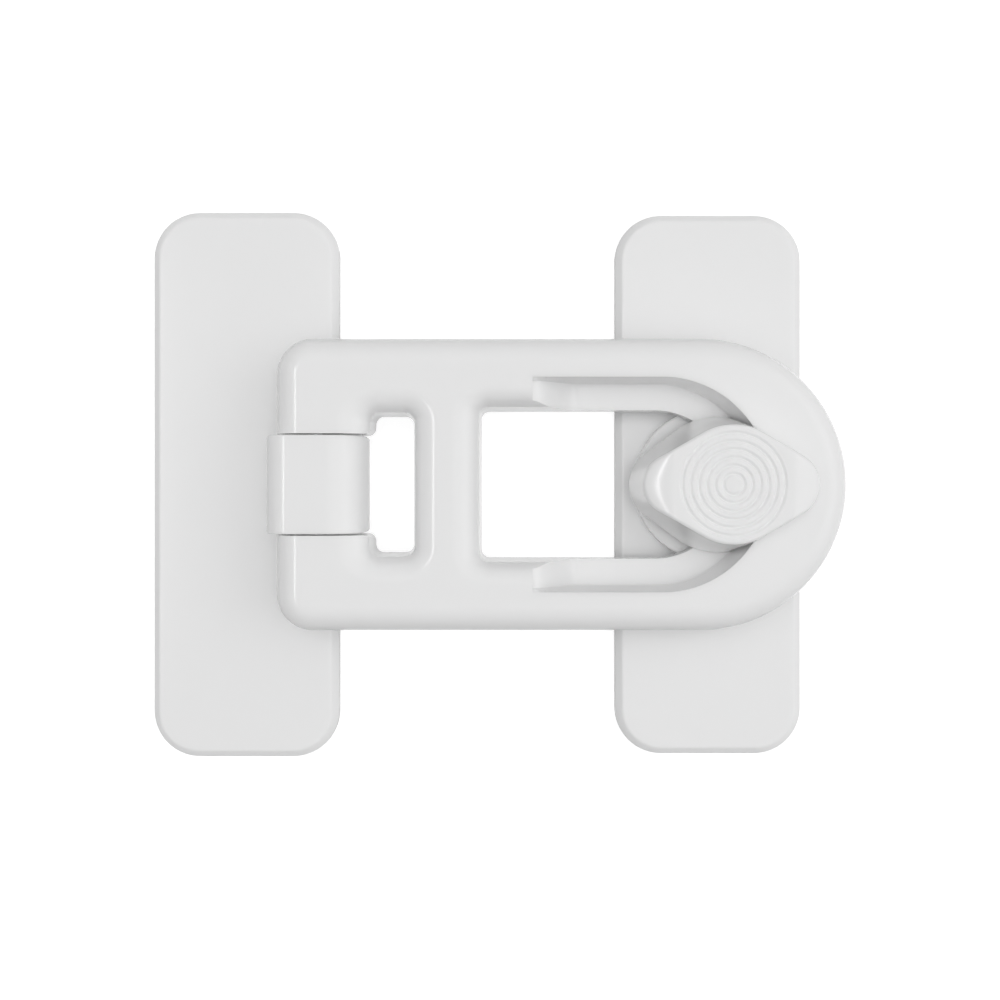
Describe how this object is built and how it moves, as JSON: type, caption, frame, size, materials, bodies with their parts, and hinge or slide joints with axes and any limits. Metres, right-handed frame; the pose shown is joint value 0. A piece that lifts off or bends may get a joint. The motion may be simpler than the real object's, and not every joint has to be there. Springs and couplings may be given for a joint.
{
  "type": "child safety lock",
  "caption": "Stick-on child safety lock: a hinged loop arm reaches from one long plate to another and is held down there by a sprung slide button with a grooved top.",
  "frame": {"origin": "centre of the outline, on the surface that the plates stick to", "axes": "+X along the arm from the hinge to the latch, +Z away from the surface, +Y across the arm"},
  "size_m": [0.1123, 0.091, 0.0206],
  "materials": {
    "white_plastic": "smooth satin white",
    "inner_plastic": "smooth matte",
    "foam": "closed-cell foam",
    "steel": "plain drawn wire"
  },
  "bodies": {
    "base": {"hinge_plate": "white_plastic", "hinge_tape": "foam", "hinge_pin": "steel", "latch_plate": "white_plastic", "latch_tape": "foam", "stop_pin": "steel", "return_spring": "steel"},
    "arm": {"arm_shell": "white_plastic", "arm_cover": "inner_plastic", "cover_screws": "steel"},
    "slider": {"slide_carriage": "inner_plastic", "button": "white_plastic", "button_screws": "steel"}
  },
  "joints": [
    {"name": "arm_swing", "type": "hinge", "parent": "base", "child": "arm", "pos_m": [-0.0271, 0, 0.0102], "axis": [0, -1, 0], "range_deg": [0, 180]},
    {"name": "latch_slide", "type": "slide", "parent": "base", "child": "slider", "axis": [1, 0, 0], "range_m": [-0.012, 0], "stiffness_N_per_m": 150, "springref_m": 0.004, "deforming": ["return_spring"]}
  ]
}
